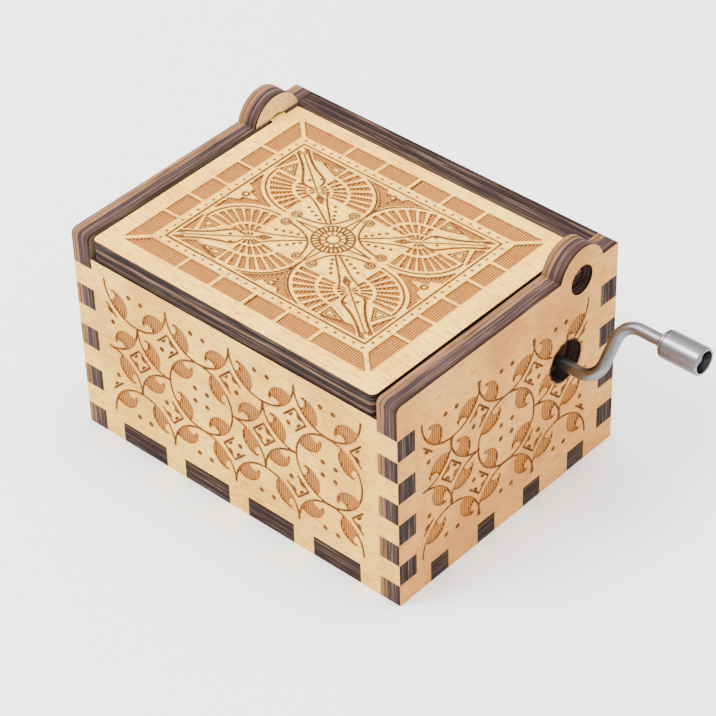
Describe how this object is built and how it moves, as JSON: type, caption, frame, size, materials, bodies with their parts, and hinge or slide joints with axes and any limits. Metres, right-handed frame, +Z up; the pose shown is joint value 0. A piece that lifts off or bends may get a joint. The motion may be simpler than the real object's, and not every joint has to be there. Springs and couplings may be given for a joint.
{
  "type": "hand crank music box",
  "caption": "Finger-jointed plywood case with an engraved hinged lid and a bent steel side crank that turns a pinned cylinder against a comb.",
  "frame": {"origin": "middle of the case's underside, on the table", "axes": "+X along the long front towards the crank, +Y towards the back, +Z up"},
  "size_m": [0.0863, 0.05, 0.0419],
  "materials": {
    "birch_ply": "bare birch plywood, laser cut and engraved",
    "lid_ply": "bare birch plywood, laser cut and engraved",
    "crank_steel": "polished nickel-plated steel",
    "sheet_steel": "zinc-plated sheet",
    "comb_steel": "ground spring steel",
    "screw_steel": "turned steel",
    "cast_frame": "die cast, slightly rough",
    "brass": "turned and polished",
    "brass_screw": "turned",
    "lead": "dull grey lead"
  },
  "bodies": {
    "case": {"front_panel": "birch_ply", "back_panel": "birch_ply", "left_panel": "birch_ply", "right_panel": "birch_ply", "bottom_panel": "birch_ply", "bedplate": "cast_frame", "comb": "comb_steel", "bearing_front": "cast_frame", "bearing_rear": "cast_frame", "crank_bracket": "sheet_steel", "comb_screw_1": "screw_steel", "comb_screw_2": "screw_steel", "comb_screw_3": "screw_steel", "bass_weight_1": "lead", "bass_weight_2": "lead", "bass_weight_3": "lead", "bass_weight_4": "lead", "bass_weight_5": "lead", "bearing_screw_1": "brass_screw", "bearing_screw_2": "brass_screw", "bearing_screw_3": "brass_screw", "bearing_screw_4": "brass_screw", "bracket_screw_1": "brass_screw", "bracket_screw_2": "brass_screw", "mount_screw_1": "screw_steel", "mount_screw_2": "screw_steel", "mount_screw_3": "screw_steel", "mount_screw_4": "screw_steel"},
    "lid": {"lid": "lid_ply"},
    "cylinder": {"drum": "brass", "drum_cap_front": "brass", "drum_cap_rear": "brass", "drum_arbor": "screw_steel", "worm_wheel": "brass"},
    "crank": {"crank_wire": "crank_steel", "worm": "brass", "crank_collar": "screw_steel", "crank_clip": "screw_steel", "knob_rivet": "crank_steel"},
    "knob": {"crank_knob": "crank_steel"}
  },
  "joints": [
    {"name": "lid_hinge", "type": "hinge", "parent": "case", "child": "lid", "pos_m": [0, 0.0164, 0.0361], "axis": [-1, 0, 0], "range_deg": [0, 130]},
    {"name": "crank_turn", "type": "hinge", "parent": "case", "child": "crank", "pos_m": [0.007, 0.013, 0.022], "axis": [1, 0, 0], "continuous": true},
    {"name": "knob_spin", "type": "hinge", "parent": "crank", "child": "knob", "pos_m": [0.05, 0.01823, 0.03053], "axis": [1, 0, 0], "continuous": true},
    {"name": "cylinder_turn", "type": "hinge", "parent": "case", "child": "cylinder", "pos_m": [0.007, 0, 0.01471], "axis": [0, 1, 0], "continuous": true}
  ],
  "couplings": [
    {"joint": "cylinder_turn", "follows": "crank_turn", "ratio": -0.05}
  ]
}
